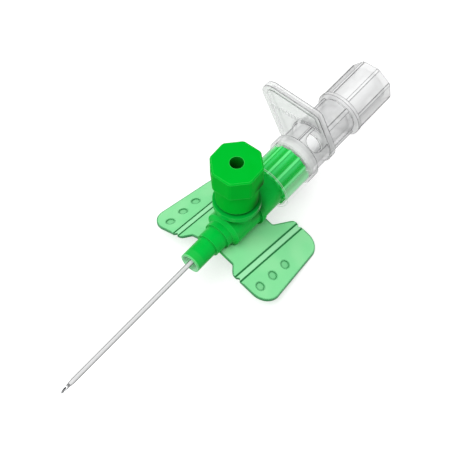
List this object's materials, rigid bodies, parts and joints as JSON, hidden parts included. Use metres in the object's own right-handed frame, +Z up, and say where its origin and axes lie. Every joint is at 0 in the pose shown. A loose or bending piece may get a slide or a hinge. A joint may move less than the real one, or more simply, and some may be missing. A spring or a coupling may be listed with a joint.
{
  "type": "intravenous cannula",
  "caption": "Winged over-the-needle intravenous cannula with injection port, port cap, clear needle hub with finger plate, flash chamber and end cap.",
  "frame": {"origin": "on the needle's axis, in the front face of the catheter hub's nose, where the catheter comes out", "axes": "-X along the catheter towards the needle tip, +Z up through the injection port, the wings spread along Y"},
  "size_m": [0.125, 0.0402, 0.0375],
  "materials": {
    "hub_green": "translucent moulded polypropylene",
    "cap_green": "opaque moulded polypropylene",
    "clear_plastic": "clear moulded",
    "catheter_plastic": "smooth extruded fluoropolymer",
    "steel": "fine drawn and polished",
    "silicone": "soft matt",
    "filter_fibre": "porous sintered"
  },
  "bodies": {
    "catheter_body": {"catheter_tube": "catheter_plastic", "catheter_ferrule": "steel", "catheter_hub": "hub_green", "port_valve": "silicone"},
    "needle_body": {"needle_tube": "steel", "needle_hub": "clear_plastic", "flash_chamber": "clear_plastic", "vent_filter": "filter_fibre"},
    "port_cap_body": {"port_cap": "cap_green"},
    "end_cap_body": {"end_cap": "clear_plastic"}
  },
  "joints": [
    {"name": "needle_withdrawal", "type": "slide", "parent": "catheter_body", "child": "needle_body", "axis": [1, 0, 0], "range_m": [0, 0.09]},
    {"name": "port_cap_lift", "type": "slide", "parent": "catheter_body", "child": "port_cap_body", "axis": [0, 0, 1], "range_m": [0, 0.007]},
    {"name": "end_cap_pull", "type": "slide", "parent": "needle_body", "child": "end_cap_body", "axis": [1, 0, 0], "range_m": [0, 0.0085]}
  ]
}
